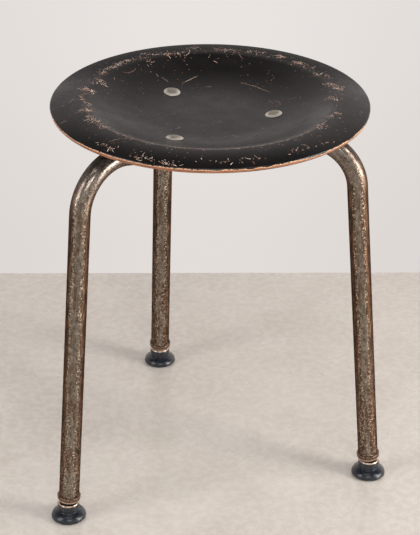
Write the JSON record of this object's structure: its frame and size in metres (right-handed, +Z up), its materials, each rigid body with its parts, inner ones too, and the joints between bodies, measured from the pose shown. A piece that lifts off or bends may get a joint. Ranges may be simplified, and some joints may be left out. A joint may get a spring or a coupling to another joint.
{
  "type": "machinist stool",
  "caption": "Backless stool: a round dished wooden seat on splayed bent-tube legs with swivelling glides under them.",
  "frame": {"origin": "on the floor, on the upright axis that the three legs share", "axes": "+Z up; +X to the right and +Y away from the viewer in the picture's front view"},
  "size_m": [0.3736, 0.3822, 0.4403],
  "materials": {
    "seat_wood": "black satin lacquer on moulded plywood, worn through at the crest and rim",
    "hub_steel": "black painted pressed steel",
    "zinc_steel": "dull zinc plated",
    "spring_steel": "blued spring steel",
    "bolt_nickel": "worn nickel plate",
    "pad_rubber": "black rubber",
    "leg_steel": "bare steel with a mottled brown patina",
    "collar_steel": "browned steel",
    "stud_steel": "oiled dark steel",
    "cup_plastic": "natural nylon",
    "glide_black": "glossy black moulded resin",
    "ring_brass": "bright brass",
    "sole_rubber": "hard black rubber"
  },
  "bodies": {
    "frame": {"seat_shell": "seat_wood", "hub_cap": "hub_steel", "seat_washers": "zinc_steel", "seat_spring_washers": "spring_steel", "seat_nuts": "zinc_steel", "seat_bolt_right": "bolt_nickel", "seat_pad_right": "pad_rubber", "leg_right": "leg_steel", "leg_collar_right": "collar_steel", "ball_stud_right": "stud_steel", "seat_bolt_back": "bolt_nickel", "seat_pad_back": "pad_rubber", "leg_back": "leg_steel", "leg_collar_back": "collar_steel", "ball_stud_back": "stud_steel", "seat_bolt_left": "bolt_nickel", "seat_pad_left": "pad_rubber", "leg_left": "leg_steel", "leg_collar_left": "collar_steel", "ball_stud_left": "stud_steel"},
    "cup_right": {"swivel_cup_right": "cup_plastic"},
    "glide_right": {"glide_base_right": "glide_black", "glide_ring_right": "ring_brass", "sole_pad_right": "sole_rubber"},
    "cup_back": {"swivel_cup_back": "cup_plastic"},
    "glide_back": {"glide_base_back": "glide_black", "glide_ring_back": "ring_brass", "sole_pad_back": "sole_rubber"},
    "cup_left": {"swivel_cup_left": "cup_plastic"},
    "glide_left": {"glide_base_left": "glide_black", "glide_ring_left": "ring_brass", "sole_pad_left": "sole_rubber"}
  },
  "joints": [
    {"name": "glide_tilt_right", "type": "hinge", "parent": "frame", "child": "cup_right", "pos_m": [0.19339, -0.05254, 0.0115], "axis": [0.2622, 0.965, 0], "range_deg": [-13.64, 4.36]},
    {"name": "glide_spin_right", "type": "hinge", "parent": "cup_right", "child": "glide_right", "pos_m": [0.19339, -0.05254, 0.0115], "axis": [0, 0, 1], "continuous": true},
    {"name": "glide_tilt_back", "type": "hinge", "parent": "frame", "child": "cup_back", "pos_m": [-0.05119, 0.19375, 0.0115], "axis": [-0.9668, -0.2554, 0], "range_deg": [-13.64, 4.36]},
    {"name": "glide_spin_back", "type": "hinge", "parent": "cup_back", "child": "glide_back", "pos_m": [-0.05119, 0.19375, 0.0115], "axis": [0, 0, 1], "continuous": true},
    {"name": "glide_tilt_left", "type": "hinge", "parent": "frame", "child": "cup_left", "pos_m": [-0.1422, -0.14121, 0.0115], "axis": [0.7046, -0.7096, 0], "range_deg": [-13.64, 4.36]},
    {"name": "glide_spin_left", "type": "hinge", "parent": "cup_left", "child": "glide_left", "pos_m": [-0.1422, -0.14121, 0.0115], "axis": [0, 0, 1], "continuous": true}
  ]
}
